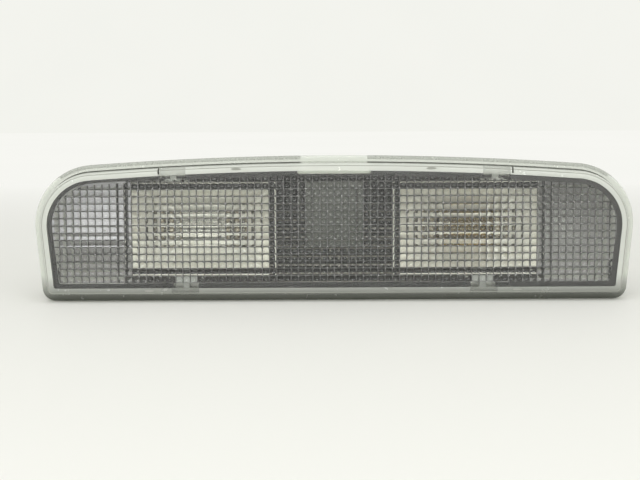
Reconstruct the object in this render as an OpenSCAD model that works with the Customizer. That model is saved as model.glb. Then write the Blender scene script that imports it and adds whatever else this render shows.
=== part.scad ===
// Third brake light with a clear stepped lens and two festoon bulbs.
// Millimetres. +Z is up, the lens faces -Y, and +X is to the right of someone facing the lens.
// Depths are measured back from the front of the lens: depth 0 is the lens face.

/* [Outline] */
// Overall width over the lens flange
lamp_w = 250; // [215:1:300]
// Overall height at the middle of the arched top
lamp_h = 60.5; // [58:0.5:72]
// Radius of the two large upper corners
corner_r = 25; // [20:0.5:27]
// How much higher the middle of the top edge stands than its ends
arch_rise = 3.6; // [2:0.1:6]
// How far each side leans in from the upper corner to the lower one
side_lean = 2.4; // [0:0.1:4]
// Radius of the two small lower corners
foot_r = 5.5; // [4.5:0.5:8]

/* [Lens] */
// How far the lens face stands in front of its flange
lens_proud = 7; // [6:0.5:9]
// Thickness of the flange
flange_t = 2.6; // [2:0.1:3]
// Width of the flat flange outside the raised part
flange_w = 3; // [2.6:0.1:3.2]
// Thickness of the lens front, optics included
lens_t = 2.4; // [2:0.1:3]

/* [Bulbs] */
// Distance from the middle of the lamp to the middle of each bulb
bulb_x = 56; // [50:0.5:66]
// Height of the bulbs above the lower edge
bulb_z = 29.5; // [29:0.5:32]
// Length of a bulb over its two end caps
bulb_l = 36; // [34:0.5:38]
// Radius of the glass of a bulb
glass_r = 5.5; // [4.5:0.1:6]

/* [Reflectors] */
// Height of a reflector bowl's mouth
bowl_h = 34; // [32:0.5:35]
// Width of a reflector bowl's mouth
bowl_w = 58; // [54:1:64]
// Thickness of the reflector wall
bowl_t = 1.2; // [1:0.1:1.5]

/* [Back] */
// Depth of the tray's outside back, from the lens face
tray_depth = 34; // [34:0.5:38]
// Thickness of the tray's back
floor_t = 2; // [1.6:0.1:2.4]
// Distance between the two mounting studs
stud_spacing = 190; // [170:1:196]
// Radius of the stud thread
stud_r = 2.5; // [2:0.5:3]
// Length of stud that stands out behind the tray's boss
stud_free = 10; // [8:0.5:16]
// Thickness of the foam gasket
gasket_t = 3; // [2:0.5:5]

/* [Hidden] */
$fn = 48;
gap = 0.3;
eps = 0.5;

// Depths of the steps, front to back
flange_s = lens_proud;
flange_back = flange_s + flange_t;
skirt_back = flange_back + 3.9;
seal_t = 1.5;
rail_back = skirt_back + seal_t + 1.6;
floor_s = tray_depth - floor_t;
boss_back = tray_depth + 2;
depth = boss_back + stud_free;

// Insets of the walls from the outline, outside to inside
wall_in = flange_w + 2.5;
rim_out = wall_in + gap;
rim_t = 1.6;
rim_in = rim_out + rim_t;
rail_in = 0.6;
rim_front = lens_t + 0.6;

// Outline of the lamp: two upper corner circles, two lower ones, a shallow arch over the top
cx = lamp_w / 2 - corner_r;
cz = lamp_h - corner_r - arch_rise;
fx = lamp_w / 2 - side_lean - foot_r;
arch_up = corner_r + arch_rise;
arch_r = (cx * cx + arch_up * arch_up - corner_r * corner_r) / (2 * (arch_up - corner_r));
arch_z = lamp_h - arch_r;
arch_a = atan2(cz - arch_z, cx);

// Extra radius of the knurled shank that holds each stud in its boss
stud_shank = 0.6;

// Latches: an arm inside the tray's rim, with a hook out through the rim into the lens wall
latch_w = 7;
latch_t = 1.4;
latch_root = floor_s - 0.5;
latch_tip = 5.6;
latch_top_x = 67;
latch_low_x = 62;
latch_notch = 10.5;
hook_w = 2.8;
hook_tip = flange_w + 1.3;
window_front = 5.6;
window_back = 9.3;
window_w = 9.5;
window_floor = flange_w + 0.9;

// Key at the middle of the top edge that centres the lens on the tray
key_w = 30;
key_back = 7;

// Reflector bowls
bowl_front = 11;
bowl_r = bowl_h / 2;
bowl_back = bowl_front + bowl_r;
bowl_cr = (bowl_r * bowl_r + bowl_w * bowl_w / 4) / (2 * bowl_r);
bowl_cs = bowl_back - bowl_cr;

// Bulbs and contacts
bulb_s = 19;
cap_r = 4.25;
tip_r = 1.6;
leaf_t = 0.6;
leaf_in = bulb_l / 2 - 0.4;
leaf_x = leaf_in + leaf_t / 2;
leaf_w = 7;
leaf_front = 15.5;
bar_t = 0.8;
bar_s = floor_s - bar_t;
leaf_back = bar_s - gap;

// Busbars, terminals and connector
feed_z = bulb_z - 1.5;
low_z = 13;
post_z = feed_z - 6;
blade_w = 2.8;
blade_t = 0.8;
shell_w = 14;
shell_h = 17;
shell_wall = 1.2;
shell_back = tray_depth + 10;
shell_z = (feed_z + post_z) / 2;

// Centre cover
cover_w = 25;
cover_low = 22;
cover_top = 50;
cover_front = 12;
cover_t = 1.4;

// Ribs under the tray, behind the room left for the body panel
rib_x = 95;
panel_room = 2.5;

// Vents, one each side of the middle
vent_x = 40;
vent_z = 42;
vent_r = 3;

function arc(px, pz, r, from, to, n) =
    [for (i = [0:n]) let (a = from + (to - from) * i / n) [px + r * cos(a), pz + r * sin(a)]];

// Right half of the outline, from the middle of the bottom edge to the middle of the top edge
function half(d) =
    let (
        more = max(0, d - foot_r + 1),
        lx = fx - more,
        lz = foot_r + more,
        lr = max(foot_r - d, 1),
        far = sqrt((cx - lx) * (cx - lx) + (cz - lz) * (cz - lz)),
        side = atan2(cz - lz, cx - lx) - acos((lr - corner_r + d) / far)
    )
    concat(
        arc(lx, lz, lr, -90, side, 5),
        arc(cx, cz, corner_r - d, side, arch_a, 14),
        [for (i = [1:8]) let (a = arch_a + (90 - arch_a) * i / 8)
            [(arch_r - d) * cos(a), arch_z + (arch_r - d) * sin(a)]]);

function flip(list) =
    [for (i = [len(list) - 2:-1:0]) [-list[i][0], list[i][1]]];

// Height of the top edge at a place across the lamp
function top_at(x) = arch_z + sqrt(arch_r * arch_r - x * x);

module outline(d) {
    polygon(concat(half(d), flip(half(d))));
}

// Solid slice of the outline between two depths
module slice(d, s0, s1) {
    translate([0, s1 - depth / 2, 0])
        rotate([90, 0, 0])
            linear_extrude(s1 - s0)
                outline(d);
}

// Block between two depths
module block(x0, x1, s0, s1, z0, z1) {
    translate([x0, s0 - depth / 2, z0])
        cube([x1 - x0, s1 - s0, z1 - z0]);
}

// Round bar along the depth
module bar(x, z, r, s0, s1) {
    translate([x, s1 - depth / 2, z])
        rotate([90, 0, 0])
            cylinder(r = r, h = s1 - s0);
}

// Blind pockets in the lens wall that the latches hook into
module latch_pockets() {
    for (x = [-latch_top_x, latch_top_x])
        block(x - window_w / 2, x + window_w / 2, window_front, window_back,
            top_at(latch_top_x) - wall_in - 1, top_at(latch_top_x) - window_floor);
    for (x = [-latch_low_x, latch_low_x])
        block(x - window_w / 2, x + window_w / 2, window_front, window_back,
            window_floor, wall_in + 1);
}

module lens() {
    color("whitesmoke", 0.5)
        difference() {
            union() {
                slice(0, flange_s, flange_back);
                slice(flange_w, 2, skirt_back);
                slice(flange_w + 0.8, 0.8, 3);
                slice(flange_w + 1.8, 0, 2);
            }
            difference() {
                slice(wall_in, lens_t, skirt_back + eps);
                block(-key_w / 2, key_w / 2, lens_t - eps, key_back,
                    lamp_h - rim_in, lamp_h);
            }
            latch_pockets();
        }
}

module lens_seal() {
    color("dimgray")
        difference() {
            slice(flange_w - 0.2, skirt_back, skirt_back + seal_t);
            slice(wall_in + 0.1, skirt_back - eps, skirt_back + seal_t + eps);
        }
}

// Notches in the tray's rim for the four latch hooks and the lens key
module rim_notches() {
    for (x = [-latch_top_x, latch_top_x])
        block(x - latch_notch / 2, x + latch_notch / 2, rim_front - eps, skirt_back + seal_t,
            lamp_h / 2, lamp_h);
    for (x = [-latch_low_x, latch_low_x])
        block(x - latch_notch / 2, x + latch_notch / 2, rim_front - eps, skirt_back + seal_t,
            0, lamp_h / 3);
    block(-key_w / 2 - gap, key_w / 2 + gap, rim_front - eps, key_back + gap, lamp_h / 2, lamp_h);
}

// Open tray: a groove for the lens skirt and seal round a deep rim
module tray() {
    difference() {
        union() {
            slice(rail_in, flange_back, rail_back);
            slice(rim_out, rim_front, tray_depth);
        }
        difference() {
            slice(flange_w - 0.3, flange_back - eps, skirt_back + seal_t);
            slice(rim_out, flange_back - 2 * eps, skirt_back + seal_t + eps);
        }
        slice(rim_in, rim_front - eps, floor_s);
        intersection() {
            rim_notches();
            slice(rim_out - 0.1, 0, floor_s);
        }
    }
}

module housing() {
    color("gray")
        difference() {
            union() {
                tray();
                // Ribs under the tray that centre the lamp in the opening and let it stand
                for (x = [-rib_x, rib_x])
                    block(x - 1.5, x + 1.5, rail_back + gasket_t + panel_room, tray_depth,
                        0, rim_out + 0.8);
                // Bosses round the studs
                for (x = [-stud_spacing / 2, stud_spacing / 2])
                    bar(x, bulb_z, 6, floor_s + eps, boss_back);
                // Vent spigots
                for (x = [-vent_x, vent_x])
                    bar(x, vent_z, vent_r + 1.5, floor_s + eps, tray_depth + 3);
            }
            for (x = [-stud_spacing / 2, stud_spacing / 2])
                bar(x, bulb_z, stud_r + stud_shank, floor_s - eps, boss_back + eps);
            // Stepped vent holes, each membrane lying on its step
            for (x = [-vent_x, vent_x]) {
                bar(x, vent_z, vent_r - 1, floor_s - eps, tray_depth + 3);
                bar(x, vent_z, vent_r, tray_depth + 1.5, tray_depth + 4);
            }
            // Slots for the two terminals
            for (z = [feed_z, post_z])
                block(-blade_t / 2, blade_t / 2, floor_s - eps, tray_depth + eps,
                    z - blade_w / 2, z + blade_w / 2);
        }
}

module body_gasket() {
    color("black")
        difference() {
            slice(rail_in + 0.6, rail_back, rail_back + gasket_t);
            slice(rim_out, rail_back - eps, rail_back + gasket_t + eps);
        }
}

// Trough bowl: an upright round wall crossed with a lying one, both r outside the cavity
module bowl_solid(r, front) {
    intersection() {
        translate([-bowl_w, bowl_front - depth / 2, bulb_z])
            rotate([0, 90, 0])
                cylinder(r = bowl_r + r, h = 2 * bowl_w, $fn = 72);
        translate([0, bowl_cs - depth / 2, bulb_z - bowl_h])
            cylinder(r = bowl_cr + r, h = 2 * bowl_h, $fn = 96);
        block(-bowl_w, bowl_w, front, floor_s, 0, lamp_h);
    }
}

module reflector(x) {
    color("silver")
        translate([x, 0, 0])
            difference() {
                union() {
                    bowl_solid(bowl_t, bowl_front);
                    block(-9, 9, bowl_back - 2, floor_s, bulb_z - 5, bulb_z + 5);
                }
                bowl_solid(0, bowl_front - eps);
                // Slots for the two contacts
                for (side = [-1, 1])
                    block(side * leaf_x - 2.4, side * leaf_x + 2.4, leaf_front - 1, floor_s,
                        bulb_z - leaf_w / 2 - 0.8, bulb_z + leaf_w / 2 + 0.8);
            }
}

module reflector_left() {
    reflector(-bulb_x);
}

module reflector_right() {
    reflector(bulb_x);
}

module centre_cover() {
    color("darkgray")
        difference() {
            block(-cover_w / 2, cover_w / 2, cover_front, floor_s, cover_low, cover_top);
            block(-cover_w / 2 + cover_t, cover_w / 2 - cover_t, cover_front + cover_t,
                floor_s + eps, cover_low + cover_t, cover_top - cover_t);
            // Notches over the feed busbar and the ground busbar's post
            block(-cover_w, cover_w, bar_s - gap, floor_s + eps, feed_z - 2.5, feed_z + 2.5);
            block(-3, 3, bar_s - gap, floor_s + eps, cover_low - 1, cover_low + 3);
        }
}

// Shape turned about the bulb's own length
module along_bulb(x) {
    translate([x, bulb_s - depth / 2, bulb_z])
        rotate([0, 90, 0])
            children();
}

cap_in = bulb_l / 2 - 6.5;
glass_end = cap_in + 1.5;
neck_r = cap_r - 0.35;

module bulb_glass(x) {
    along_bulb(x)
        rotate_extrude()
            polygon([[0, -glass_end], [neck_r, -glass_end], [neck_r, -cap_in], [glass_r, 3 - cap_in],
                [glass_r, cap_in - 3], [neck_r, cap_in], [neck_r, glass_end], [0, glass_end],
                [0, glass_end - 1], [neck_r - 0.8, glass_end - 1], [neck_r - 0.8, cap_in],
                [glass_r - 0.8, cap_in - 3], [glass_r - 0.8, 3 - cap_in], [neck_r - 0.8, -cap_in],
                [neck_r - 0.8, 1 - glass_end], [0, 1 - glass_end]]);
}

module bulb_caps(x) {
    tip = bulb_l / 2;
    for (turn = [0, 180])
        along_bulb(x)
            rotate([turn, 0, 0])
                rotate_extrude()
                    polygon([[neck_r, cap_in], [cap_r, cap_in], [cap_r, tip - 3], [2.2, tip - 1],
                        [tip_r, tip - 0.7], [tip_r, tip + 0.6], [0, tip + 0.6], [0, glass_end],
                        [neck_r, glass_end]]);
}

module bulb_filament(x) {
    along_bulb(x)
        translate([0, 0, 1 - glass_end])
            cylinder(r = 0.25, h = 2 * glass_end - 2, $fn = 16);
    along_bulb(x)
        translate([0, 0, -4])
            cylinder(r = 0.7, h = 8, $fn = 24);
}

module bulb_left_glass() {
    color("lightblue", 0.4)
        bulb_glass(-bulb_x);
}

module bulb_left_caps() {
    color("darkgray")
        bulb_caps(-bulb_x);
}

module bulb_left_filament() {
    color("gray")
        bulb_filament(-bulb_x);
}

module bulb_right_glass() {
    color("goldenrod", 0.4)
        bulb_glass(bulb_x);
}

module bulb_right_caps() {
    color("darkgray")
        bulb_caps(bulb_x);
}

module bulb_right_filament() {
    color("gray")
        bulb_filament(bulb_x);
}

// Upright spring leaf with an eye for the bulb's tip
module contact(x) {
    color("gold")
        difference() {
            block(x - leaf_t / 2, x + leaf_t / 2, leaf_front, leaf_back,
                bulb_z - leaf_w / 2, bulb_z + leaf_w / 2);
            along_bulb(x)
                translate([0, 0, -2])
                    cylinder(r = tip_r + 0.45, h = 4);
        }
}

module contact_left_outer() {
    contact(-bulb_x - leaf_x);
}

module contact_left_inner() {
    contact(-bulb_x + leaf_x);
}

module contact_right_inner() {
    contact(bulb_x - leaf_x);
}

module contact_right_outer() {
    contact(bulb_x + leaf_x);
}

module busbar_feed() {
    end = bulb_x - leaf_x + 2;
    color("goldenrod")
        block(-end, end, bar_s, floor_s, feed_z - 2, feed_z + 2);
}

module busbar_ground() {
    end = bulb_x + leaf_x + 2;
    color("goldenrod")
        union() {
            block(-end, end, bar_s, floor_s, low_z - 2, low_z + 2);
            block(-end, 4 - end, bar_s, floor_s, low_z, bulb_z + 2);
            block(end - 4, end, bar_s, floor_s, low_z, bulb_z + 2);
            block(-2, 2, bar_s, floor_s, low_z, post_z + 2);
        }
}

module terminal(z) {
    color("gold")
        block(-blade_t / 2, blade_t / 2, floor_s, shell_back - 2, z - blade_w / 2, z + blade_w / 2);
}

module terminal_feed() {
    terminal(feed_z);
}

module terminal_ground() {
    terminal(post_z);
}

module connector_shell() {
    color("black")
        difference() {
            union() {
                block(-shell_w / 2, shell_w / 2, tray_depth, shell_back,
                    shell_z - shell_h / 2, shell_z + shell_h / 2);
                // Ramp that a plug's lock catches on
                block(-2.5, 2.5, shell_back - 5, shell_back - 2,
                    shell_z + shell_h / 2 - eps, shell_z + shell_h / 2 + 1.2);
            }
            block(-shell_w / 2 + shell_wall, shell_w / 2 - shell_wall, tray_depth - eps,
                shell_back + eps, shell_z - shell_h / 2 + shell_wall, shell_z + shell_h / 2 - shell_wall);
        }
}

module studs() {
    color("lightsteelblue")
        for (x = [-stud_spacing / 2, stud_spacing / 2]) {
            bar(x, bulb_z, stud_r, boss_back - 1, depth);
            bar(x, bulb_z, stud_r + stud_shank, floor_s - 1, boss_back);
            bar(x, bulb_z, stud_r + 2.5, floor_s - 2, floor_s);
        }
}

module vent_membrane() {
    color("white")
        for (x = [-vent_x, vent_x])
            bar(x, vent_z, vent_r, tray_depth + 1.5, tray_depth + 2);
}

module one_vent_cap(x) {
    difference() {
        bar(x, vent_z, vent_r + 2.7, tray_depth + 0.5, tray_depth + 4.4);
        bar(x, vent_z, vent_r + 1.5, tray_depth, tray_depth + 3);
        bar(x, vent_z, vent_r - 1, tray_depth, tray_depth + 3.4);
        // Side slots that let air in
        for (z = [-3.5, 3.5])
            block(x - 0.8, x + 0.8, tray_depth + 3, tray_depth + 3.8,
                vent_z + z - 3, vent_z + z + 3);
    }
}

module vent_cap() {
    color("black")
        for (x = [-vent_x, vent_x])
            one_vent_cap(x);
}

// Latch arm with a hook; up is +1 at the top edge and -1 at the bottom edge
module latch(x, z, up) {
    rise = rim_in + 0.6 + latch_t - hook_tip;
    low = up > 0 ? z - latch_t : z + latch_t - rise;
    color("slategray")
        union() {
            block(x - latch_w / 2, x + latch_w / 2, latch_tip, latch_root,
                min(z, z - up * latch_t), max(z, z - up * latch_t));
            block(x - hook_w / 2, x + hook_w / 2, window_back - 3, window_back - gap,
                low, low + rise);
        }
}

// Outer faces of the latch arms
latch_top_z = top_at(latch_top_x) - rim_in - 0.6;
latch_low_z = rim_in + 0.6;

module latch_top_left() {
    latch(-latch_top_x, latch_top_z, 1);
}

module latch_top_right() {
    latch(latch_top_x, latch_top_z, 1);
}

module latch_low_left() {
    latch(-latch_low_x, latch_low_z, -1);
}

module latch_low_right() {
    latch(latch_low_x, latch_low_z, -1);
}

lens();
lens_seal();
housing();
body_gasket();
reflector_left();
reflector_right();
centre_cover();
bulb_left_glass();
bulb_left_caps();
bulb_left_filament();
bulb_right_glass();
bulb_right_caps();
bulb_right_filament();
contact_left_outer();
contact_left_inner();
contact_right_inner();
contact_right_outer();
busbar_feed();
busbar_ground();
terminal_feed();
terminal_ground();
connector_shell();
studs();
vent_cap();
vent_membrane();
latch_top_left();
latch_top_right();
latch_low_left();
latch_low_right();
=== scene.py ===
# %% [markdown]
# # A third brake light in Blender
# The solids of the lamp are already made and packed as a fixed frame: every part has its true
# size and place, in metres, with +Z up and the lens facing -Y. This lesson gives the lamp its
# looks. Parts that need more shape than the frame has are modelled again in place, and every
# part gets a material built from nodes. The frame itself is never moved or edited.

# %% Load the frame
import math

import bmesh
import bpy
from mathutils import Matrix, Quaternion, Vector


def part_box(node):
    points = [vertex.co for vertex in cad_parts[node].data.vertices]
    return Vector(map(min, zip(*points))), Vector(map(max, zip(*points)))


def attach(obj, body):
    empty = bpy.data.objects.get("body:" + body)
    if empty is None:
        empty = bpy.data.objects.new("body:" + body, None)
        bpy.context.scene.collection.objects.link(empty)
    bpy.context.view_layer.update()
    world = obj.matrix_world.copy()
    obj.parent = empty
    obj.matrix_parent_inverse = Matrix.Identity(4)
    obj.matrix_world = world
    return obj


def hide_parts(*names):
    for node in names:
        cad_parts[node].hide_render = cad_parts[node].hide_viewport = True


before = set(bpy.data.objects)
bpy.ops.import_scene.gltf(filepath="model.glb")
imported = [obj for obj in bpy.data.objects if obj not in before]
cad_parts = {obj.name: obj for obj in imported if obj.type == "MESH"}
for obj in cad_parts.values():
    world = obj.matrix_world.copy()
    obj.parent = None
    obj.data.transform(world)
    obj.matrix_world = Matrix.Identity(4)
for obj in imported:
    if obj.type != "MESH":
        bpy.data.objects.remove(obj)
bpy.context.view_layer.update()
MM = 0.001
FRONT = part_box("lens")[0].y

# %% [markdown]
# ## Two small habits
# Operators act on whatever is selected, so each step starts by clearing the selection and
# picking one object. Edit mode is entered and left around each group of shaping steps.

# %% Selection helpers


def pick(piece):
    """Makes one object the only selected and active one."""
    if bpy.context.mode != "OBJECT":
        bpy.ops.object.mode_set(mode="OBJECT")
    bpy.ops.object.select_all(action="DESELECT")
    piece.select_set(True)
    bpy.context.view_layer.objects.active = piece
    return piece


def newest(name):
    """Names the primitive that was just added."""
    piece = bpy.context.object
    piece.name = name
    piece.data.name = name
    return piece


def edit(piece):
    """Enters edit mode on one object with nothing selected."""
    pick(piece)
    bpy.ops.object.mode_set(mode="EDIT")
    bpy.ops.mesh.select_all(action="DESELECT")
    return bmesh.from_edit_mesh(piece.data)


def leave(piece):
    bpy.ops.object.mode_set(mode="OBJECT")
    return piece


def choose(piece, test, kind="VERT"):
    """Selects the vertices, edges or faces that pass a test on their middle point."""
    mesh = bmesh.from_edit_mesh(piece.data)
    bpy.ops.mesh.select_mode(type=kind)
    bpy.ops.mesh.select_all(action="DESELECT")
    items = {"VERT": mesh.verts, "EDGE": mesh.edges, "FACE": mesh.faces}[kind]
    count = 0
    for item in items:
        if kind == "VERT":
            middle = item.co
        elif kind == "EDGE":
            middle = (item.verts[0].co + item.verts[1].co) / 2
        else:
            middle = item.calc_center_median()
        if test(middle):
            item.select = True
            count += 1
    mesh.select_flush_mode()
    bmesh.update_edit_mesh(piece.data)
    return count


def modify(piece, kind, **settings):
    """Adds a modifier, sets it and applies it."""
    pick(piece)
    modifier = piece.modifiers.new(kind.title(), kind)
    for key, value in settings.items():
        setattr(modifier, key, value)
    bpy.ops.object.modifier_apply(modifier=modifier.name)
    return piece


def carve(piece, tool, operation):
    """Joins or cuts one closed shape with another, then removes the tool."""
    modify(piece, "BOOLEAN", object=tool, operation=operation, solver="EXACT")
    bpy.data.objects.remove(tool)
    return piece


def settle(piece, angle=32):
    """Puts a finished piece's place in its mesh and smooths all but its sharp edges."""
    pick(piece)
    bpy.ops.object.transform_apply(location=True, rotation=True, scale=True)
    bpy.ops.object.shade_smooth_by_angle(angle=math.radians(angle))
    return piece


def triangles(piece):
    return sum(len(face.vertices) - 2 for face in piece.data.polygons)


print("helpers ready, mode", bpy.context.mode)

# %% [markdown]
# ## Materials from nodes
# One function turns the hex colours of a paint chart into the linear values that the renderer
# works in, and one adds a node with its settings and its links.

# %% Node helpers


def colour(hex_code):
    """sRGB hex to linear RGBA."""
    parts = [int(hex_code[i:i + 2], 16) / 255 for i in (1, 3, 5)]
    return tuple(p / 12.92 if p <= 0.04045 else ((p + 0.055) / 1.055) ** 2.4 for p in parts) + (1.0,)


def add(material, kind, settings=None, links=None):
    """Adds a node. Keys of links are its input sockets, and values are output sockets."""
    item = material.node_tree.nodes.new(kind)
    for key, value in (settings or {}).items():
        if isinstance(key, int) or key in item.inputs:
            item.inputs[key].default_value = value
        else:
            setattr(item, key, value)
    for key, socket in (links or {}).items():
        material.node_tree.links.new(socket, item.inputs[key])
    return item


def new_material(name):
    """An empty node material with its output node."""
    material = bpy.data.materials.new(name)
    material.use_nodes = True
    material.node_tree.nodes.clear()
    return material, add(material, "ShaderNodeOutputMaterial")


def connect(material, output, shader, socket="Surface"):
    material.node_tree.links.new(shader, output.inputs[socket])
    return material


def per_mm(size):
    """Noise scale for features of a size in millimetres."""
    return 1 / (size * MM)


print("white is", colour("#ffffff")[:3])

# %% [markdown]
# ## Moulded plastics
# The tray, the covers and the connector are injection moulded. What shows is a fine spark
# eroded grain, slightly uneven gloss, and a little dust on the faces that look up.

# %% Moulded plastic


def moulded(name, base, dust, rough, grain_mm, bump, dust_amount):
    material, output = new_material(name)
    place = add(material, "ShaderNodeTexCoord").outputs["Object"]
    grain = add(material, "ShaderNodeTexNoise",
                {"Scale": per_mm(grain_mm), "Detail": 2.0, "Roughness": 0.6}, {"Vector": place})
    cloud = add(material, "ShaderNodeTexNoise",
                {"Scale": per_mm(14), "Detail": 4.0, "Roughness": 0.55}, {"Vector": place})
    up = add(material, "ShaderNodeSeparateXYZ",
             links={"Vector": add(material, "ShaderNodeNewGeometry").outputs["Normal"]})
    lying = add(material, "ShaderNodeMapRange",
                {"From Min": 0.3, "From Max": 1.0, "To Min": 0.15, "To Max": 1.0},
                {"Value": up.outputs["Z"]})
    patch = add(material, "ShaderNodeMapRange",
                {"From Min": 0.42, "From Max": 0.7, "To Min": 0.0, "To Max": dust_amount},
                {"Value": cloud.outputs["Fac"]})
    amount = add(material, "ShaderNodeMath", {"operation": "MULTIPLY"},
                 {0: lying.outputs["Result"], 1: patch.outputs["Result"]})
    tint = add(material, "ShaderNodeMix", {"data_type": "RGBA"},
               {"Factor": amount.outputs["Value"]})
    tint.inputs[6].default_value = colour(base)
    tint.inputs[7].default_value = colour(dust)
    gloss = add(material, "ShaderNodeMapRange",
                {"From Min": 0.3, "From Max": 0.7, "To Min": rough - 0.06, "To Max": rough + 0.1},
                {"Value": cloud.outputs["Fac"]})
    relief = add(material, "ShaderNodeBump", {"Strength": bump, "Distance": 0.03 * MM},
                 {"Height": grain.outputs["Fac"]})
    shader = add(material, "ShaderNodeBsdfPrincipled", {"IOR": 1.5},
                 {"Base Color": tint.outputs[2], "Roughness": gloss.outputs["Result"],
                  "Normal": relief.outputs["Normal"]})
    return connect(material, output, shader.outputs["BSDF"])


tray_plastic = moulded("tray_ABS_pale", "#c9cac5", "#bab5a9", 0.45, 0.35, 0.35, 0.3)
bay_plastic = moulded("tray_ABS_inside", "#989697", "#6f695d", 0.5, 0.3, 0.35, 0.5)
# Painted shade: a mid grey for the tray inside between the end bays, below and beside the bowls, where shade falls.
painted_shade_grey = moulded("tray_painted_shade_grey", "#4e4e4c", "#5d594f", 0.55, 0.3, 0.35, 0.4)
# Near black: painted shade in the middle bay, and the bare backs of the bowls.
shade_and_bowl_back_black = moulded("painted_shade_and_bowl_back_black", "#141515", "#3a3834", 0.8, 0.3, 0.35, 0.2)
rim_plastic = moulded("tray_rim_black", "#060707", "#1b1b19", 0.8, 0.35, 0.2, 0.1)
cover_plastic = moulded("cover_ABS_satin", "#434540", "#8b8983", 0.38, 0.3, 0.3, 0.25)
black_plastic = moulded("connector_PBT_black", "#17181a", "#5c5a55", 0.5, 0.4, 0.4, 0.25)
latch_plastic = moulded("latch_POM_grey", "#8d8f8c", "#8f8d86", 0.4, 0.3, 0.25, 0.2)
# A grey for the inside of grooves, slits and small holes: painted shade in these recesses.
groove_painted_shade = moulded("groove_painted_shade", "#8b8d85", "#4f4d45", 0.8, 0.5, 0.3, 0.6)
print("moulded plastics:", tray_plastic.name, bay_plastic.name, cover_plastic.name, latch_plastic.name)

# %% [markdown]
# ## Rubber and foam
# The lens seal is solid silicone rubber, milky and smooth, so the clear lens stays pale at its
# edge. The gasket is closed cell EPDM foam, whose cut cells show as small pits.

# %% Rubber and foam


def rubbery(name, base, light, rough, cell_mm, depth_mm):
    material, output = new_material(name)
    place = add(material, "ShaderNodeTexCoord").outputs["Object"]
    cells = add(material, "ShaderNodeTexVoronoi", {"Scale": per_mm(cell_mm), "Randomness": 1.0},
                {"Vector": place})
    bloom = add(material, "ShaderNodeTexNoise", {"Scale": per_mm(9), "Detail": 3.0}, {"Vector": place})
    tint = add(material, "ShaderNodeMix", {"data_type": "RGBA"}, {"Factor": bloom.outputs["Fac"]})
    tint.inputs[6].default_value = colour(base)
    tint.inputs[7].default_value = colour(light)
    relief = add(material, "ShaderNodeBump", {"Strength": 0.7, "Distance": depth_mm * MM},
                 {"Height": cells.outputs["Distance"]})
    shader = add(material, "ShaderNodeBsdfPrincipled", {"Roughness": rough, "IOR": 1.52},
                 {"Base Color": tint.outputs[2], "Normal": relief.outputs["Normal"]})
    return connect(material, output, shader.outputs["BSDF"])


seal_rubber = rubbery("seal_silicone_pale", "#c2c3bd", "#cfcfc9", 0.5, 1.2, 0.02)
gasket_foam = rubbery("gasket_EPDM_foam", "#18191a", "#2c2c2d", 0.85, 0.6, 0.15)
print("rubbers:", seal_rubber.name, gasket_foam.name)

# %% [markdown]
# ## Metals
# Vacuum metallising leaves a thin aluminium mirror with faint haze and dust. The bulb caps are
# nickel plated and dull with age. Busbars and contacts are stamped brass, with fine rolling
# lines along the strip. The studs are bright zinc plated steel.

# %% Metals


def metal(name, base, aged, rough, spread, haze_mm, line_mm=None, metallic=1.0):
    material, output = new_material(name)
    place = add(material, "ShaderNodeTexCoord").outputs["Object"]
    haze = add(material, "ShaderNodeTexNoise",
               {"Scale": per_mm(haze_mm), "Detail": 5.0, "Roughness": 0.6}, {"Vector": place})
    share = add(material, "ShaderNodeMapRange", {"From Min": 0.35, "From Max": 0.75},
                {"Value": haze.outputs["Fac"]})
    tint = add(material, "ShaderNodeMix", {"data_type": "RGBA"}, {"Factor": share.outputs["Result"]})
    tint.inputs[6].default_value = colour(base)
    tint.inputs[7].default_value = colour(aged)
    gloss = add(material, "ShaderNodeMapRange",
                {"From Min": 0.3, "From Max": 0.75, "To Min": rough, "To Max": rough + spread},
                {"Value": haze.outputs["Fac"]})
    links = {"Base Color": tint.outputs[2], "Roughness": gloss.outputs["Result"]}
    if line_mm:
        stretched = add(material, "ShaderNodeMapping",
                        {"Scale": (0.04, 1.0, 1.0)}, {"Vector": place})
        lines = add(material, "ShaderNodeTexNoise", {"Scale": per_mm(line_mm), "Detail": 2.0},
                    {"Vector": stretched.outputs["Vector"]})
        relief = add(material, "ShaderNodeBump", {"Strength": 0.25, "Distance": 0.02 * MM},
                     {"Height": lines.outputs["Fac"]})
        links["Normal"] = relief.outputs["Normal"]
    shader = add(material, "ShaderNodeBsdfPrincipled", {"Metallic": metallic}, links)
    return connect(material, output, shader.outputs["BSDF"])


mirror_coat = metal("reflector_aluminised", "#fdfcf7", "#f4f2e9", 0.3, 0.1, 6, metallic=0.75)
cap_nickel = metal("bulb_cap_nickel", "#a39c8c", "#7d7566", 0.3, 0.2, 2.5)
strip_brass = metal("contact_brass_tinned", "#8c8a82", "#716c60", 0.4, 0.2, 3, 0.25)
stud_zinc = metal("stud_zinc_plated", "#a9aba9", "#8b8c87", 0.36, 0.15, 4)
blade_tin = metal("terminal_tin_plated", "#c9c8c2", "#aeaca4", 0.3, 0.15, 3, 0.25)
wire_tungsten = metal("filament_tungsten", "#6d6c69", "#55544f", 0.45, 0.1, 0.8)
print("metals:", mirror_coat.name, cap_nickel.name, strip_brass.name, stud_zinc.name)

# %% [markdown]
# ## Clear plastic and glass
# The lens is acrylic, IOR 1.49. Seen edge on, its flange has a pale grey green cast. Lamps have
# to light what lies behind it, so for shadow rays the clear plastic counts as plain transparent.
# The bulbs are thin soda glass, and one of them is tinted amber.

# %% Clear materials


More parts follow.
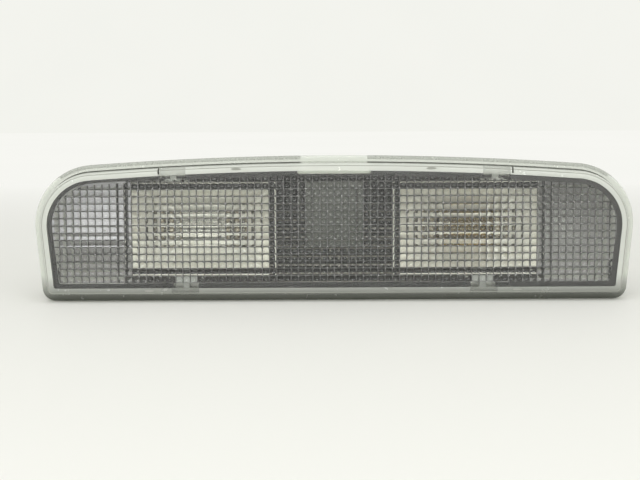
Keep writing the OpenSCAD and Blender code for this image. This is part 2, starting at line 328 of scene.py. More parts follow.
def clear(name, body, ior, rough, shade, smear_mm, smear, share=1.0, low=None):
    material, output = new_material(name)
    place = add(material, "ShaderNodeTexCoord").outputs["Object"]
    film = add(material, "ShaderNodeTexNoise",
               {"Scale": per_mm(smear_mm), "Detail": 6.0, "Roughness": 0.65}, {"Vector": place})
    gloss = add(material, "ShaderNodeMapRange",
                {"From Min": 0.45, "From Max": 0.8, "To Min": rough, "To Max": rough + smear},
                {"Value": film.outputs["Fac"]})
    shader = add(material, "ShaderNodeBsdfPrincipled",
                 {"Base Color": colour(body), "IOR": ior, "Transmission Weight": share},
                 {"Roughness": gloss.outputs["Result"]})
    # Painted shade: with a low colour, the plastic darkens towards the bottom of the lamp, from 11 mm down to 1 mm
    # above the base.
    if low:
        up = add(material, "ShaderNodeSeparateXYZ", links={"Vector": place})
        shade_ramp = add(material, "ShaderNodeMapRange", {"From Min": 1 * MM, "From Max": 11 * MM}, {"Value": up.outputs["Z"]})
        tint = add(material, "ShaderNodeMix", {"data_type": "RGBA"}, {"Factor": shade_ramp.outputs["Result"]})
        tint.inputs[6].default_value = colour(low)
        tint.inputs[7].default_value = colour(body)
        material.node_tree.links.new(tint.outputs[2], shader.inputs["Base Color"])
    passing = add(material, "ShaderNodeBsdfTransparent", {"Color": colour(shade)})
    ray = add(material, "ShaderNodeLightPath")
    mixed = add(material, "ShaderNodeMixShader", links={
        0: ray.outputs["Is Shadow Ray"], 1: shader.outputs["BSDF"], 2: passing.outputs["BSDF"]})
    return connect(material, output, mixed.outputs["Shader"])


lens_acrylic = clear("lens_PMMA_clear", "#fafbf8", 1.49, 0.0, "#fbfcf9", 9, 0.04)
# The etched edge and the latch windows darken towards the bottom: painted shade.
edge_acrylic = clear("lens_PMMA_etched_edge_shaded_low", "#d2d5cd", 1.49, 0.16, "#eef0ea", 5, 0.2, 0.35, "#585a53")
# Painted shade: the top of the flange gets a darker clear plastic, for the darker look of the top edge.
top_shade_acrylic = clear("lens_PMMA_painted_shade_top", "#a3a69e", 1.49, 0.25, "#eef0ea", 5, 0.2, 0.3)
window_acrylic = clear("lens_PMMA_fine_etch_shaded_low", "#d2d5cd", 1.49, 0.05, "#eef0ea", 5, 0.1, 0.6, "#585a53")
# Painted shade: the valley faces between the pillows get a dark, partly opaque plastic, which draws dark lines where
# the creases would shade.
valley_shade_acrylic = clear("lens_PMMA_valley_painted_shade", "#2b2b28", 1.49, 0.35, "#eef0ea", 5, 0.2, 0.45)
bulb_glass = clear("bulb_soda_glass", "#f7f7f5", 1.5, 0.0, "#f2f2ef", 5, 0.04)
amber_glass = clear("bulb_amber_glass", "#c3b562", 1.5, 0.0, "#cfc37c", 5, 0.04)
print("clear:", lens_acrylic.name, bulb_glass.name, amber_glass.name)

# %% [markdown]
# ## The outline of the lamp
# The lens, its flange and the tray all follow one outline: a shallow arch over the top, two
# large upper corners, two small lower ones, and a flat lower edge. Every ring of the lens is
# this outline moved in by some distance, so one function gives them all. Depths are counted
# back from the lens face.

# %% Outline and rings
LENS_LOW, LENS_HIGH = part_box("lens")
HALF_W = LENS_HIGH.x
HEIGHT = LENS_HIGH.z
CORNER, RISE, LEAN, FOOT = 25 * MM, 3.6 * MM, 2.4 * MM, 5.5 * MM


def at_depth(depth_mm):
    return FRONT + depth_mm * MM


def arc(cx, cz, radius, start, stop, steps):
    turn = [start + (stop - start) * i / steps for i in range(steps + 1)]
    return [(cx + radius * math.cos(a), cz + radius * math.sin(a)) for a in turn]


def outline(inset_mm):
    """Points of the outline, moved in, as (x, z) in metres."""
    d = inset_mm * MM
    cx, cz = HALF_W - CORNER, HEIGHT - CORNER - RISE
    reach = CORNER + RISE
    arch = (cx * cx + reach * reach - CORNER * CORNER) / (2 * (reach - CORNER))
    arch_z = HEIGHT - arch
    arch_start = math.atan2(cz - arch_z, cx)
    more = max(0.0, d - FOOT + 1 * MM)
    fx, fz, fr = HALF_W - LEAN - FOOT - more, FOOT + more, max(FOOT - d, 1 * MM)
    span = math.hypot(cx - fx, cz - fz)
    side = math.atan2(cz - fz, cx - fx) - math.acos((fr - CORNER + d) / span)
    right = arc(fx, fz, fr, -math.pi / 2, side, 9) + arc(cx, cz, CORNER - d, side, arch_start, 26)
    right += arc(0, arch_z, arch - d, arch_start, math.pi / 2, 22)[1:]
    return right + [(-x, z) for x, z in reversed(right[:-1])]


def top_edge(x_mm, inset_mm):
    """Height of the top edge at a place across the lamp."""
    reach = CORNER + RISE
    cx = HALF_W - CORNER
    arch = (cx * cx + reach * reach - CORNER * CORNER) / (2 * (reach - CORNER))
    return HEIGHT - arch + math.sqrt(arch ** 2 - (x_mm * MM) ** 2) - inset_mm * MM


def ring_piece(name, profile, loop=False):
    """Extrudes one ring of the outline through a profile of (inset, depth) steps in mm."""
    count = len(outline(0))
    bpy.ops.object.select_all(action="DESELECT")
    bpy.ops.mesh.primitive_circle_add(vertices=count, radius=HALF_W)
    piece = newest(name)
    mesh = edit(piece)
    last = list(range(count))
    for step, (inset, depth) in enumerate(profile):
        if step:
            bpy.ops.mesh.select_mode(type="EDGE")
            bpy.ops.mesh.extrude_edges_move()
            mesh = bmesh.from_edit_mesh(piece.data)
            mesh.verts.ensure_lookup_table()
            known = set(last)
            last = [next(o.index for o in (e.other_vert(mesh.verts[i]) for e in mesh.verts[i].link_edges)
                         if o.select and o.index not in known) for i in last]
        else:
            bpy.ops.mesh.select_all(action="SELECT")
            mesh.verts.ensure_lookup_table()
        for i, (x, z) in zip(last, outline(inset)):
            mesh.verts[i].co = (x, at_depth(depth), z)
        bmesh.update_edit_mesh(piece.data)
    if loop:
        bpy.ops.mesh.select_all(action="SELECT")
        bpy.ops.mesh.remove_doubles(threshold=0.001 * MM)
    else:
        bpy.ops.mesh.edge_face_add()
        mesh = bmesh.from_edit_mesh(piece.data)
        mesh.verts.ensure_lookup_table()
        bpy.ops.mesh.select_all(action="DESELECT")
        bpy.ops.mesh.select_mode(type="VERT")
        for i in range(count):
            mesh.verts[i].select = True
        mesh.select_flush_mode()
        bpy.ops.mesh.edge_face_add()
    bpy.ops.mesh.select_all(action="SELECT")
    bpy.ops.mesh.normals_make_consistent(inside=False)
    return leave(piece)


print("outline points:", len(outline(0)), "height at the middle, mm:", round(top_edge(0, 0) / MM, 2))

# %% [markdown]
# ## The lens shell
# The real lens is one acrylic moulding. Its cross section is walked from the front face round
# the shoulder to the flange, back along the skirt that sits in the tray's groove, and forward
# again inside. A small groove runs where the wall meets the flange.

# %% Lens shell
SHOULDER = 1.5


def round_over(inset, depth, radius, start, stop, steps=5):
    turn = [math.radians(start + (stop - start) * i / steps) for i in range(steps + 1)]
    return [(inset + radius * math.cos(a), depth + radius * math.sin(a)) for a in turn]


lens_profile = (
    [(6.0, 0.0)]
    + round_over(3.0 + SHOULDER, SHOULDER, SHOULDER, -90, -180, 6)
    + [(3.0, 6.3), (3.0, 7.8), (2.6, 7.85), (2.5, 7.0), (1.5, 7.0)]
    + round_over(0.5, 7.5, 0.5, -90, -180, 4)
    + round_over(0.5, 9.05, 0.5, 180, 90, 4)
    + [(3.1, 9.55), (3.1, 13.2), (3.35, 13.48), (5.2, 13.48), (5.45, 13.2), (5.45, 1.3)]
)
lens = ring_piece("clear_lens", lens_profile)
print("lens shell faces:", len(lens.data.polygons))

# %% [markdown]
# ## Pillow optics
# The inside of the lens front is covered with small square pillows, 3 mm across, that spread
# the light. One pillow is shaped from a little grid, whose rows and columns are lifted to a
# round crown, and two array modifiers repeat it. The sheet is thickened into a plate, trimmed
# to the lens outline and joined with the shell.

# %% Pillow optics
PITCH = 3.0
CROWN_R = 2.25
PLATE_DEPTH = 1.4
COLUMNS, ROWS = 80, 17
CELL_STEPS = 6
STEPS = (0.0, 0.68, 1.25)


def crown(offset_mm):
    return (math.sqrt(CROWN_R ** 2 - offset_mm ** 2) - math.sqrt(CROWN_R ** 2 - (PITCH / 2) ** 2)) * MM


bpy.ops.object.select_all(action="DESELECT")
bpy.ops.mesh.primitive_grid_add(x_subdivisions=CELL_STEPS, y_subdivisions=CELL_STEPS, size=PITCH * MM,
                                rotation=(-math.pi / 2, 0, 0))
optics = newest("optics_cell")
pick(optics)
bpy.ops.object.transform_apply(rotation=True)
edit(optics)
for axis in (0, 2):
    for step, offset in enumerate(STEPS):
        even = step * PITCH / CELL_STEPS
        choose(optics, lambda p: abs(abs(p[axis]) - even * MM) < 0.01 * MM)
        bpy.ops.transform.translate(value=(0, crown(offset), 0))
        wider = [1, 1, 1]
        wider[axis] = offset / even if step else 1
        bpy.ops.transform.resize(value=wider, center_override=(0, 0, 0))
leave(optics)
FIELD_X = -(COLUMNS - 1) / 2 * PITCH
FIELD_Z = 30.5 - (ROWS - 1) / 2 * PITCH
optics.location = (FIELD_X * MM, at_depth(PLATE_DEPTH), FIELD_Z * MM)
settle(optics)
modify(optics, "ARRAY", count=COLUMNS, use_relative_offset=False, use_constant_offset=True,
       constant_offset_displace=(PITCH * MM, 0, 0), use_merge_vertices=True, merge_threshold=0.01 * MM)
modify(optics, "ARRAY", count=ROWS, use_relative_offset=False, use_constant_offset=True,
       constant_offset_displace=(0, 0, PITCH * MM), use_merge_vertices=True, merge_threshold=0.01 * MM)
print("optics sheet triangles:", triangles(optics))

edit(optics)
bpy.ops.mesh.select_mode(type="EDGE")
bpy.ops.mesh.select_non_manifold()
bpy.ops.mesh.extrude_edges_move(TRANSFORM_OT_translate={"value": (0, -1.2 * MM, 0)})
bpy.ops.transform.resize(value=(1, 0, 1), center_override=(0, at_depth(0.4), 0))
bpy.ops.mesh.edge_face_add()
bpy.ops.mesh.select_all(action="SELECT")
bpy.ops.mesh.normals_make_consistent(inside=False)
leave(optics)
carve(optics, ring_piece("trim", [(8.1, 0.7), (8.1, 4.5)]), "INTERSECT")
print("trimmed optics triangles:", triangles(optics))

# %% [markdown]
# ## Joining the optics, and the details of the lens
# The plate is merged into the shell, so the clear plastic is one closed body and light bends
# only where the real lens has a surface. Blind pockets in the wall take the four latch hooks,
# and a key at the middle of the top edge centres the lens on its tray.

# %% Join and detail the lens
LATCH_TOP_X, LATCH_LOW_X = 67.0, 62.0


def rounded_box(name, x, depth, z, radius_mm=0.25):
    """A box given by its mm ranges across, in depth and up, with rounded edges."""
    bpy.ops.object.select_all(action="DESELECT")
    low = Vector((x[0] * MM, at_depth(depth[0]), z[0] * MM))
    high = Vector((x[1] * MM, at_depth(depth[1]), z[1] * MM))
    bpy.ops.mesh.primitive_cube_add(size=1, location=(low + high) / 2, scale=high - low)
    box = newest(name)
    pick(box)
    bpy.ops.object.transform_apply(location=True, rotation=True, scale=True)
    edit(box)
    bpy.ops.mesh.select_all(action="SELECT")
    bpy.ops.mesh.bevel(offset=radius_mm * MM, segments=3, affect="EDGES")
    return leave(box)


def painted(piece, material, test):
    """Gives a second material to the faces whose middle and normal pass a test."""
    piece.data.materials.append(material)
    chosen = [face for face in piece.data.polygons if test(face.center, face.normal)]
    for face in chosen:
        face.material_index = len(piece.data.materials) - 1
    print(piece.name, material.name, "faces:", len(chosen))


def split(piece, point, normal):
    """Cuts all faces along a plane, so that a finish can end there."""
    edit(piece)
    bpy.ops.mesh.select_all(action="SELECT")
    bpy.ops.mesh.bisect(plane_co=point, plane_no=normal)
    return leave(piece)


def within(points, p):
    """True where a point lies inside a closed outline of (x, z) points."""
    count = 0
    for (ax, az), (bx, bz) in zip(points, points[1:] + points[:1]):
        if (az > p.z) != (bz > p.z) and p.x < ax + (bx - ax) * (p.z - az) / (bz - az):
            count += 1
    return count % 2 == 1


carve(lens, optics, "UNION")
for side in (-1, 1):
    x = side * LATCH_TOP_X
    top = top_edge(LATCH_TOP_X, 0) / MM
    carve(lens, rounded_box("pocket", (x - 4.7, x + 4.7), (5.6, 9.25), (top - 7.4, top - 3.9)),
          "DIFFERENCE")
    x = side * LATCH_LOW_X
    carve(lens, rounded_box("pocket", (x - 4.7, x + 4.7), (5.6, 9.25), (3.9, 7.4)), "DIFFERENCE")
middle = top_edge(0, 0) / MM
carve(lens, rounded_box("key", (-14.9, 14.9), (0.9, 6.95), (middle - 7.3, middle - 5.0)), "UNION")

# %% Slits and ejector marks of the lens
for x in (-72.5, 73.6):
    top = top_edge(x, 0) / MM
    carve(lens, rounded_box("slit", (x - 0.3, x + 0.3), (-0.5, 6.4), (top - 5.4, top - 2.2), 0.1), "DIFFERENCE")
for x, z in ((-40.4, middle - 5.2), (40.0, middle - 5.2), (-77.0, 4.9), (76.0, 4.9)):
    bpy.ops.object.select_all(action="DESELECT")
    bpy.ops.mesh.primitive_cylinder_add(vertices=28, radius=1 * MM, depth=1 * MM, rotation=(math.pi / 2, 0, 0),
                                        location=(x * MM, at_depth(-0.2), z * MM))
    mark = newest("ejector_mark")
    edit(mark)
    bpy.ops.mesh.select_all(action="SELECT")
    leave(mark)
    pick(mark)
    bpy.ops.object.transform_apply(location=True, rotation=True, scale=True)
    edit(mark)
    bpy.ops.mesh.select_all(action="SELECT")
    bpy.ops.transform.resize(value=(2.1, 1, 0.5), center_override=(x * MM, at_depth(0), z * MM))
    leave(mark)
    carve(lens, mark, "DIFFERENCE")
print("lens details cut, faces:", len(lens.data.polygons))

# %% Finish the lens
for x in (LATCH_TOP_X - 5.7, LATCH_TOP_X + 5.7, LATCH_LOW_X - 5.7, LATCH_LOW_X + 5.7):
    for side in (-1, 1):
        split(lens, (side * x * MM, 0, 0), (1, 0, 0))
settle(lens, 30)
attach(lens, "housing")
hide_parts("lens")
lens.data.materials.clear()
lens.data.materials.append(lens_acrylic)
front_panel, wall_line, groove_in = outline(5.6), outline(3.02), outline(2.45)


def at_latch(p):
    x = LATCH_TOP_X if p.z > 0.5 * HEIGHT else LATCH_LOW_X
    return abs(abs(p.x) - x * MM) < 5.7 * MM and within(wall_line, p)


def in_valley(p):
    offsets = [abs(((v / MM - start) / PITCH + 0.5) % 1 - 0.5) * PITCH for v, start in ((p.x, FIELD_X), (p.z, FIELD_Z))]
    return max(offsets) > STEPS[-1] + 0.03


field, flange_in = outline(8.15), outline(1.45)
# Painted shade on the valley faces of the pillow optics: dark lines between the pillows.
painted(lens, valley_shade_acrylic, lambda p, n: at_depth(1.0) < p.y < at_depth(3.5) and within(field, p) and in_valley(p))
painted(lens, edge_acrylic, lambda p, n: not within(front_panel, p))
painted(lens, window_acrylic, lambda p, n: not within(front_panel, p) and at_latch(p))
# Painted shade along the top of the flange.
painted(lens, top_shade_acrylic, lambda p, n: p.y > at_depth(6.9) and not within(flange_in, p) and p.z > 0.85 * HEIGHT)
# Painted shade: the flange groove, the two slits and the floors of the ejector marks get the grey of the recesses.
painted(lens, groove_painted_shade, lambda p, n: at_depth(7.05) < p.y < at_depth(8.2) and within(groove_in, p)
        and not within(wall_line, p))
painted(lens, groove_painted_shade, lambda p, n: at_depth(0.05) < p.y < at_depth(6.5)
        and min(abs(p.x + 72.5 * MM), abs(p.x - 73.6 * MM)) < 0.32 * MM and p.z > 50 * MM)
painted(lens, groove_painted_shade, lambda p, n: at_depth(0.1) < p.y < at_depth(0.4) and n.y < -0.9
        and not within(front_panel, p))
painted(lens, edge_acrylic, lambda p, n: abs(p.x) < 15.1 * MM and p.y > at_depth(2.3) and p.z > (middle - 7.5) * MM)
print("lens triangles:", triangles(lens))

# %% [markdown]
# ## Parts that only need softer edges
# Moulded, stamped and turned parts never have knife edges. Where the frame's shape is right
# already, a copy of its mesh is merged, its flat faces are joined, and a bevel modifier rounds
# the edges by the radius that the real process leaves.

# %% Softened copies


def softened(node, name, radius_mm, material, body="housing", segments=2, angle=34):
    piece = bpy.data.objects.new(name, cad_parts[node].data.copy())
    bpy.context.scene.collection.objects.link(piece)
    edit(piece)
    bpy.ops.mesh.select_all(action="SELECT")
    bpy.ops.mesh.remove_doubles(threshold=0.002 * MM)
    bpy.ops.mesh.dissolve_limited(angle_limit=math.radians(0.6))
    leave(piece)
    modify(piece, "BEVEL", width=radius_mm * MM, segments=segments, limit_method="ANGLE",
           angle_limit=math.radians(angle), use_clamp_overlap=False)
    piece.data.materials.clear()
    piece.data.materials.append(material)
    settle(piece)
    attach(piece, body)
    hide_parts(node)
    print(name, "triangles:", triangles(piece))
    return piece


tray = softened("housing", "tray", 0.25, tray_plastic)
RIM_BACK, MIDDLE_BAY, END_BAY = 4.8, 26.8, 88.0
split(tray, (0, at_depth(RIM_BACK), 0), (0, 1, 0))
for x in (-END_BAY, -MIDDLE_BAY, MIDDLE_BAY, END_BAY):
    split(tray, (x * MM, 0, 0), (1, 0, 0))
cavity = outline(7.15)


def in_cavity(p):
    return p.y < at_depth(33) and within(cavity, p)


painted(tray, bay_plastic, lambda p, n: in_cavity(p) and (n.y < -0.5 or abs(p.x) < END_BAY * MM))
# Painted shade between the end bays.
painted(tray, painted_shade_grey, lambda p, n: in_cavity(p) and abs(p.x) < END_BAY * MM)
# Painted shade: the middle bay beside the centre block is near black.
painted(tray, shade_and_bowl_back_black, lambda p, n: in_cavity(p) and abs(p.x) < MIDDLE_BAY * MM)
painted(tray, rim_plastic, lambda p, n: p.y < at_depth(RIM_BACK))
end_step = ring_piece("end_step", [(7.7, 21.0), (7.6, 21.2), (7.6, 31.9)])
carve(end_step, rounded_box("keep", (-121, -88.6), (20, 33), (25.4, 60), 0.8), "INTERSECT")
carve(end_step, rounded_box("pin_hole", (-96.2, -94.6), (20, 24), (29.6, 30.8), 0.3), "DIFFERENCE")
settle(end_step)
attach(end_step, "housing")
end_step.data.materials.clear()
end_step.data.materials.append(moulded("tray_step_ABS", "#d6d4dc", "#857e70", 0.5, 0.3, 0.3, 0.4))
# Painted shade in the pin hole of the step.
painted(end_step, groove_painted_shade, lambda p, n: abs(p.x + 95.4 * MM) < 0.85 * MM and abs(p.z - 30.2 * MM) < 0.65 * MM)
softened("lens_seal", "seal_ring", 0.3, seal_rubber)
softened("body_gasket", "foam_gasket", 0.5, gasket_foam)
softened("centre_cover", "centre_block", 0.5, cover_plastic, segments=3)
softened("connector_shell", "plug_shell", 0.25, black_plastic)
softened("vent_cap", "vent_caps", 0.25, black_plastic)
softened("busbar_feed", "feed_strip", 0.15, strip_brass)
softened("busbar_ground", "ground_strip", 0.15, strip_brass)
softened("terminal_feed", "feed_blade", 0.12, blade_tin)
softened("terminal_ground", "ground_blade", 0.12, blade_tin)
for side in ("left", "right"):
    bowl = softened("reflector_" + side, "bowl_" + side, 0.2, mirror_coat)
    low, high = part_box("reflector_" + side)
    focus = Vector(((low.x + high.x) / 2, at_depth(12.5), (low.z + high.z) / 2))
    painted(bowl, shade_and_bowl_back_black, lambda p, n: n.dot(focus - p) < 0)
    for edge in ("top", "low"):
        node = f"latch_{edge}_{side}"
        softened(node, "snap_" + node, 0.2, latch_plastic, body=node)
    for place in ("outer", "inner"):
        node = f"contact_{side}_{place}"
        softened(node, "leaf_" + node, 0.1, strip_brass, body=node)

# %% [markdown]
# ## Turned shapes
# Bulb glass, bulb caps and studs are round about one axis. A circle is extruded and scaled
# ring by ring through a profile of (distance along, radius) steps, in mm.

# %% Turning


def turned(name, middle, along, profile, segments=40, loop=False):
    """Extrudes and scales a circle through a profile. along is "X" or "Y"."""
    axis = Vector((1, 0, 0)) if along == "X" else Vector((0, 1, 0))
    flat = (0, math.pi / 2, 0) if along == "X" else (math.pi / 2, 0, 0)
    start, radius = profile[0]
    bpy.ops.object.select_all(action="DESELECT")
    bpy.ops.mesh.primitive_circle_add(vertices=segments, radius=radius * MM, rotation=flat,
                                      location=Vector(middle) + axis * start * MM)
    piece = newest(name)
    pick(piece)
    bpy.ops.object.transform_apply(location=True, rotation=True, scale=True)
    edit(piece)
    bpy.ops.mesh.select_mode(type="EDGE")
    bpy.ops.mesh.select_all(action="SELECT")
    if not loop:
        bpy.ops.mesh.edge_face_add()
        bpy.ops.mesh.select_mode(type="EDGE")
    for (a, r), (b, s) in zip(profile, profile[1:]):
        bpy.ops.mesh.extrude_edges_move(TRANSFORM_OT_translate={"value": axis * (b - a) * MM})
        if abs(r - s) > 1e-6:
            k = s / r
            size = (1, k, k) if along == "X" else (k, 1, k)
            bpy.ops.transform.resize(value=size, center_override=Vector(middle) + axis * b * MM)
    if loop:
        bpy.ops.mesh.select_all(action="SELECT")
        bpy.ops.mesh.remove_doubles(threshold=0.001 * MM)
    else:
        bpy.ops.mesh.edge_face_add()
    bpy.ops.mesh.select_all(action="SELECT")
    bpy.ops.mesh.normals_make_consistent(inside=False)
    return leave(piece)


def finished(piece, node, material, body="housing", angle=40):
    settle(piece, angle)
    piece.data.materials.clear()
    piece.data.materials.append(material)
    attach(piece, body)
    if node:
        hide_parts(node)
    print(piece.name, "triangles:", triangles(piece))
    return piece


def mirrored(half):
    """A profile that runs to one end and back to the other."""
    return [(-a, r) for a, r in reversed(half)] + list(half)


print("turning ready")

# %% [markdown]
# ## Festoon bulbs
# A festoon bulb is a glass tube, drawn in at both ends, with a nickel plated cap crimped on
# each. The coil hangs along the middle on two lead wires.

# %% Bulbs


def joined(name, parts):
    pick(parts[0])
    for part in parts[1:]:
        part.select_set(True)
    bpy.ops.object.join()
    return newest(name)


def coil_piece(name, middle, length, radius, wire, turns):
    """A wound wire: a small circle turned round the bulb's length by a screw modifier."""
    bpy.ops.object.select_all(action="DESELECT")
    bpy.ops.mesh.primitive_circle_add(vertices=6, radius=wire * MM, rotation=(0, math.pi / 2, 0),
                                      location=(0, radius * MM, 0))
    piece = newest(name)
    pick(piece)
    bpy.ops.object.transform_apply(location=True, rotation=True, scale=True)
    modify(piece, "SCREW", axis="X", angle=2 * math.pi * turns, screw_offset=length * MM,
           steps=12 * turns, render_steps=12 * turns, use_merge_vertices=False)
    edit(piece)
    bpy.ops.mesh.select_mode(type="EDGE")
    bpy.ops.mesh.select_non_manifold()
    bpy.ops.mesh.fill()
    bpy.ops.mesh.select_all(action="SELECT")
    bpy.ops.mesh.normals_make_consistent(inside=False)
    leave(piece)
    piece.location = Vector(middle) - Vector((length / 2 * MM, 0, 0))
    pick(piece)
    bpy.ops.object.transform_apply(location=True)
    return piece


glass_half = [(0.0, 5.45), (4.0, 5.45), (8.2, 5.42), (9.4, 5.25), (10.3, 4.85), (11.0, 4.35),
              (11.5, 3.95), (12.2, 3.8), (12.85, 3.75)]
inner_half = [(0.0, 4.95), (8.1, 4.92), (9.2, 4.75), (10.0, 4.35), (10.7, 3.9), (11.4, 3.45), (12.85, 3.2)]
cap_profile = [(11.4, 3.86), (11.4, 4.12), (11.55, 4.23), (12.1, 4.23), (12.35, 4.05), (12.75, 4.05),
               (13.0, 4.23), (14.4, 4.23), (14.9, 4.1), (15.4, 3.7), (16.4, 2.75), (16.9, 2.2),
               (17.25, 1.7), (17.5, 1.58), (18.35, 1.55), (18.55, 1.3), (18.6, 0.4)]
for side, glass in (("left", bulb_glass), ("right", amber_glass)):
    low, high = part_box(f"bulb_{side}_glass")
    middle = (low + high) / 2
    outside = mirrored(glass_half[1:])
    inside = [(-a, r) for a, r in reversed(mirrored(inner_half[1:]))]
    finished(turned(f"festoon_glass_{side}", middle, "X", outside + inside + outside[:1], 48, loop=True),
             f"bulb_{side}_glass", glass, angle=60)
    caps = []
    for turn in (-1, 1):
        profile = [(turn * a, r) for a, r in [(11.45, 3.5)] + cap_profile]
        caps.append(turned("cap", middle, "X", profile, 40))
    finished(joined(f"festoon_caps_{side}", caps), f"bulb_{side}_caps", cap_nickel)
    wires = [coil_piece("coil", middle, 8.0, 0.42, 0.09, 22)]
    for turn in (-1, 1):
        lead = [(turn * 3.9, 0.14), (turn * 6.0, 0.14), (turn * 8.0, 0.17), (turn * 11.6, 0.17)]
        wires.append(turned("lead", middle + Vector((0, 0.42 * MM, 0)), "X", lead, 10))
    finished(joined(f"festoon_coil_{side}", wires), f"bulb_{side}_filament", wire_tungsten)

# %% [markdown]
# ## Threaded studs
# The thread is one V shaped step turned round and along by a screw modifier, on a core with a
# chamfered end. The knurled shank and the head inside the tray are turned with the core.

# %% Studs
STUD_R, THREAD_PITCH, THREAD_DEPTH = 2.5, 0.8, 0.46


def stud(x):
    low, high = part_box("studs")
    z = (low.z + high.z) / 2
    origin = Vector((x * MM, at_depth(0), z))
    core = turned("core", origin, "Y", [(30.0, 4.7), (30.3, 5.0), (31.7, 5.0), (32.0, 4.8), (32.0, 3.1),
                                        (35.95, 3.1), (36.05, 2.9), (36.05, 2.06), (45.3, 2.06),
                                        (46.0, 1.5)], 36)
    count = 11
    bpy.ops.object.select_all(action="DESELECT")
    bpy.ops.mesh.primitive_plane_add(size=1 * MM, rotation=(0, math.pi / 2, 0))
    thread = newest("thread")
    mesh = edit(thread)
    mesh.verts.ensure_lookup_table()
    crest, root = STUD_R * MM, (STUD_R - THREAD_DEPTH) * MM
    shape = [(root, -0.37), (crest - 0.03 * MM, -0.05), (crest - 0.03 * MM, 0.05), (root, 0.37)]
    bpy.ops.mesh.select_all(action="SELECT")
    bpy.ops.mesh.delete(type="ONLY_FACE")
    mesh = bmesh.from_edit_mesh(thread.data)
    mesh.verts.ensure_lookup_table()
    ordered = [mesh.verts[0]]
    while len(ordered) < 4:
        ordered.append(next(e.other_vert(ordered[-1]) for e in ordered[-1].link_edges
                            if e.other_vert(ordered[-1]) not in ordered))
    for vertex, (radius, step) in zip(ordered, shape):
        vertex.co = (radius, step * MM, 0)
    bmesh.update_edit_mesh(thread.data)
    leave(thread)
    modify(thread, "SCREW", axis="Y", angle=2 * math.pi * count, screw_offset=THREAD_PITCH * count * MM,
           steps=24 * count, render_steps=24 * count, use_merge_vertices=False)
    edit(thread)
    bpy.ops.mesh.select_mode(type="EDGE")
    bpy.ops.mesh.select_non_manifold()
    bpy.ops.mesh.fill()
    bpy.ops.mesh.select_all(action="SELECT")
    bpy.ops.mesh.normals_make_consistent(inside=False)
    leave(thread)
    thread.location = origin + Vector((0, 36.45 * MM, 0))
    return joined("stud", [core, thread])


low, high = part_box("studs")
spread = (high.x - low.x) / 2 / MM - 5.0
finished(joined("threaded_studs", [stud(-spread), stud(spread)]), "studs", stud_zinc, angle=35)

# %% [markdown]
# ## The vent membrane
# A disc of woven film that passes air and holds back water. Its shape in the frame is right, so
# it only gets a woven material.

# %% Vent membrane
film, film_output = new_material("vent_PTFE_film")
film_place = add(film, "ShaderNodeTexCoord").outputs["Object"]
weave = add(film, "ShaderNodeTexWave", {"Scale": per_mm(0.5), "Distortion": 0.5}, {"Vector": film_place})
film_relief = add(film, "ShaderNodeBump", {"Strength": 0.4, "Distance": 0.03 * MM},
                  {"Height": weave.outputs["Fac"]})
film_shader = add(film, "ShaderNodeBsdfPrincipled",
                  {"Base Color": colour("#dcdcd8"), "Roughness": 0.7}, {"Normal": film_relief.outputs["Normal"]})
connect(film, film_output, film_shader.outputs["BSDF"])
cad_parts["vent_membrane"].data.materials.clear()
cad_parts["vent_membrane"].data.materials.append(film)
print("vent film set")

# %% [markdown]
# ## Stage, light and camera
# The lamp stands on a pale table in even, soft studio light. The far edge of the table lies
# behind the lamp, with a pale wall beyond it.

# %% Stage
TABLE_FAR = 3.2


def stage_material(name, hex_code, cloud_hex, near, paint):
    material, output = new_material(name)
    place = add(material, "ShaderNodeTexCoord").outputs["Object"]
    cloud = add(material, "ShaderNodeTexNoise", {"Scale": 3.0, "Detail": 3.0}, {"Vector": place})
    tint = add(material, "ShaderNodeMix", {"data_type": "RGBA"}, {"Factor": cloud.outputs["Fac"]})
    tint.inputs[6].default_value = colour(hex_code)
    tint.inputs[7].default_value = colour(cloud_hex)
    shader = add(material, "ShaderNodeBsdfPrincipled", {"Base Color": colour(paint), "Roughness": 0.6})
    ray = add(material, "ShaderNodeLightPath")
    seen = add(material, "ShaderNodeMath", {"operation": "MAXIMUM"},
               {0: ray.outputs["Is Camera Ray"], 1: ray.outputs["Is Glossy Ray"]})
    seen = add(material, "ShaderNodeMath", {"operation": "MAXIMUM"},
               {0: seen.outputs["Value"], 1: ray.outputs["Is Transmission Ray"]})
    far = add(material, "ShaderNodeSeparateXYZ", links={"Vector": place})
    far = add(material, "ShaderNodeMapRange", {"From Min": near, "From Max": near + 0.7}, {"Value": far.outputs["Y"]})
    seen = add(material, "ShaderNodeMath", {"operation": "MULTIPLY"},
               {0: seen.outputs["Value"], 1: far.outputs["Result"]})
    glow = add(material, "ShaderNodeEmission", {"Strength": 1.0}, {"Color": tint.outputs[2]})
    mixed = add(material, "ShaderNodeMixShader", links={
        0: seen.outputs["Value"], 1: shader.outputs["BSDF"], 2: glow.outputs["Emission"]})
    return connect(material, output, mixed.outputs["Shader"])


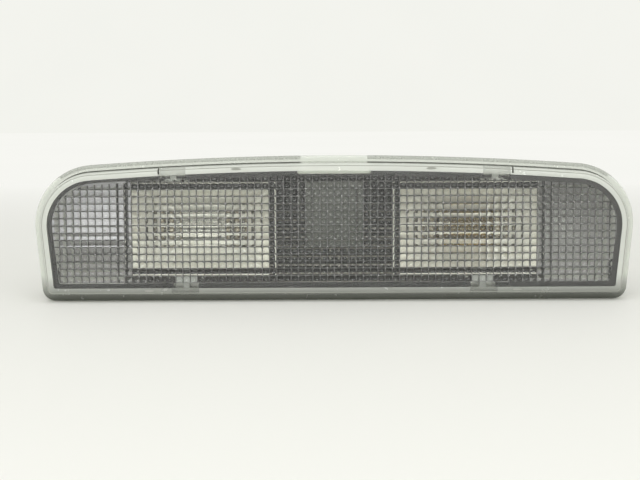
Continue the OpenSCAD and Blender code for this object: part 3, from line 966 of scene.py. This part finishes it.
bpy.ops.object.select_all(action="DESELECT")
bpy.ops.mesh.primitive_plane_add(size=2, location=(0, 0, -0.0001))
table = newest("table_top")
edit(table)
choose(table, lambda p: True)
bpy.ops.transform.resize(value=(4, TABLE_FAR, 1), center_override=(0, 0, 0))
leave(table)
table.data.materials.append(stage_material("table_laminate", "#f8f8f3", "#f5f5f0", 0.12, "#e4e4df"))
bpy.ops.object.select_all(action="DESELECT")
bpy.ops.mesh.primitive_plane_add(size=14, location=(0, TABLE_FAR + 1.5, 0), rotation=(math.pi / 2, 0, 0))
wall = newest("back_wall")
wall.data.materials.append(stage_material("wall_paint", "#f1f2ec", "#f5f5ef", -99.0, "#f1f2ec"))

# %% Light
scene = bpy.context.scene
world = bpy.data.worlds.new("studio_air")
scene.world = world
world.use_nodes = True
background = world.node_tree.nodes["Background"]
background.inputs["Color"].default_value = colour("#fbfbf8")
background.inputs["Strength"].default_value = 0.74


def soft_lamp(name, place, aim, size, power):
    light = bpy.data.lights.new(name, "AREA")
    light.shape = "RECTANGLE"
    light.size, light.size_y = size
    light.energy = power
    lamp = bpy.data.objects.new(name, light)
    scene.collection.objects.link(lamp)
    lamp.location = place
    lamp.rotation_euler = (Vector(aim) - Vector(place)).to_track_quat("-Z", "Y").to_euler()
    return lamp


soft_lamp("ceiling_softbox", (0.1, -0.3, 1.6), (0, 0, 0.03), (1.6, 1.2), 3.0)
soft_lamp("front_softbox", (-0.1, -1.5, 0.8), (0, 0, 0.03), (2.8, 1.4), 31.0)

# %% Camera
DISTANCE, RISE_ANGLE, ROLL = 0.62, math.radians(5.5), math.radians(-0.26)
AIM = Vector((-0.0060, -0.006, 0.0242))
camera_data = bpy.data.cameras.new("studio_camera")
camera = bpy.data.objects.new("studio_camera", camera_data)
scene.collection.objects.link(camera)
camera.location = AIM + DISTANCE * Vector((0, -math.cos(RISE_ANGLE), math.sin(RISE_ANGLE)))
level = (AIM - camera.location).to_track_quat("-Z", "Y")
camera.rotation_euler = (level @ Quaternion((0, 0, 1), ROLL)).to_euler()
camera_data.sensor_width = 36.0
camera_data.lens = 36.0 * (DISTANCE - 0.011) / 0.2674
scene.camera = camera
scene.view_settings.view_transform = "Standard"
print("camera focal length:", round(camera_data.lens, 1))
